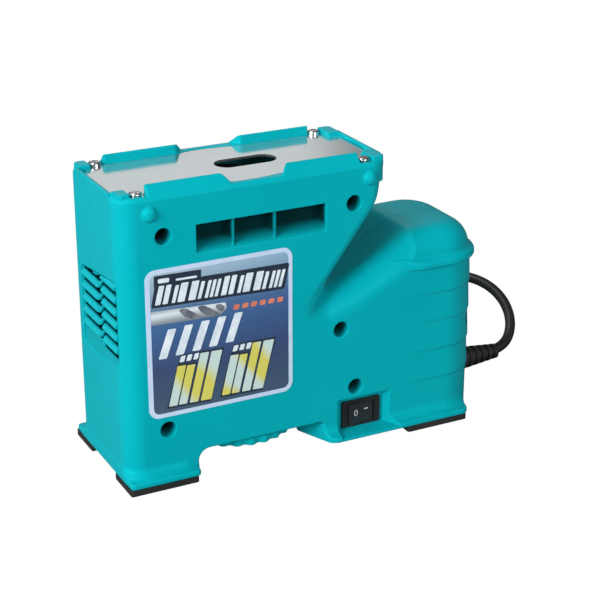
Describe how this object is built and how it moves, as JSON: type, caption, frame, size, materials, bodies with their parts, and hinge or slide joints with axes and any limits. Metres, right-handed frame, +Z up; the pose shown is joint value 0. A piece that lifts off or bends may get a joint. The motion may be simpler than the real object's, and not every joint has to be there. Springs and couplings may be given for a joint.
{
  "type": "drill bit sharpener",
  "caption": "Bench drill bit sharpener with a tall teal plastic body, steel guide plate with an oval bit slot, motor housing, rocker switch, rubber feet and mains cord.",
  "frame": {"origin": "centre of the four rubber feet, on the floor", "axes": "+X from the tall grinding end towards the motor and cord end, +Y from the labelled front towards the back, +Z up"},
  "size_m": [0.3133, 0.1462, 0.1895],
  "materials": {
    "teal_plastic": "satin moulded",
    "steel_plate": "satin",
    "screw_steel": "bright zinc",
    "black_rubber": "matte",
    "label_print": "printed film",
    "black_plastic": "fine grain",
    "brass": "plain",
    "lamination": "stacked sheet",
    "copper_wire": "enamelled",
    "cast_alloy": "die cast",
    "ground_steel": "ground",
    "bearing_steel": "polished",
    "white_plastic": "moulded",
    "carbon": "pressed graphite",
    "belt_rubber": "woven back",
    "diamond_grit": "coated grit",
    "blue_film": "dipped",
    "wire_sheath": "pvc"
  },
  "bodies": {
    "housing": {"front_shell": "teal_plastic", "rear_shell": "teal_plastic", "guide_plate": "steel_plate", "plate_screws": "screw_steel", "case_screws": "screw_steel", "corner_screw": "screw_steel", "rubber_feet": "black_rubber", "face_label": "label_print", "switch_body": "black_plastic", "switch_terminals": "brass", "adjuster_bush": "brass", "spindle_bracket": "cast_alloy", "motor_bottom_bearing": "bearing_steel", "motor_top_bearing": "bearing_steel", "motor_stator": "lamination", "field_coils": "copper_wire", "motor_bottom_bracket": "cast_alloy", "motor_top_bracket": "cast_alloy", "motor_bolts": "screw_steel", "brush_holders": "brass", "carbon_brushes": "carbon", "drive_belt": "belt_rubber", "cord_boot": "black_rubber", "power_cord": "black_rubber", "plug_body": "black_rubber", "plug_pins": "brass", "cord_clamp": "white_plastic", "clamp_screws": "screw_steel", "capacitor": "blue_film", "lead_wires": "wire_sheath"},
    "rocker": {"switch_rocker": "black_plastic"},
    "rotor": {"motor_shaft": "ground_steel", "motor_pulley": "cast_alloy", "cooling_fan": "white_plastic", "armature_core": "lamination", "armature_windings": "copper_wire", "commutator": "copper_wire"},
    "quill": {"spindle_quill": "ground_steel", "spindle_bottom_bearing": "bearing_steel", "spindle_top_bearing": "bearing_steel"},
    "spindle": {"grinding_spindle": "ground_steel", "spindle_pulley": "cast_alloy", "wheel_hub": "cast_alloy", "diamond_rim": "diamond_grit", "wheel_nut": "screw_steel"},
    "knob": {"height_knob": "teal_plastic", "thrust_ball": "bearing_steel"}
  },
  "joints": [
    {"name": "rocker_hinge", "type": "hinge", "parent": "housing", "child": "rocker", "pos_m": [0.0441, -0.0344, 0.017], "axis": [0, 0, 1], "range_deg": [-14, 0]},
    {"name": "rotor_spin", "type": "hinge", "parent": "housing", "child": "rotor", "pos_m": [0.092, 0, 0.08], "axis": [0, 0, 1], "continuous": true},
    {"name": "quill_slide", "type": "slide", "parent": "housing", "child": "quill", "axis": [0, 0, 1], "range_m": [-0.001, 0]},
    {"name": "spindle_spin", "type": "hinge", "parent": "quill", "child": "spindle", "pos_m": [-0.029, 0, 0.106], "axis": [0, 0, 1], "continuous": true},
    {"name": "knob_turn", "type": "hinge", "parent": "quill", "child": "knob", "pos_m": [-0.029, 0, 0.014], "axis": [0, 0, 1], "range_deg": [-360, 0]}
  ],
  "couplings": [
    {"joint": "spindle_spin", "follows": "rotor_spin", "ratio": 0.6},
    {"joint": "knob_turn", "follows": "quill_slide", "rad_per_m": 6283}
  ]
}
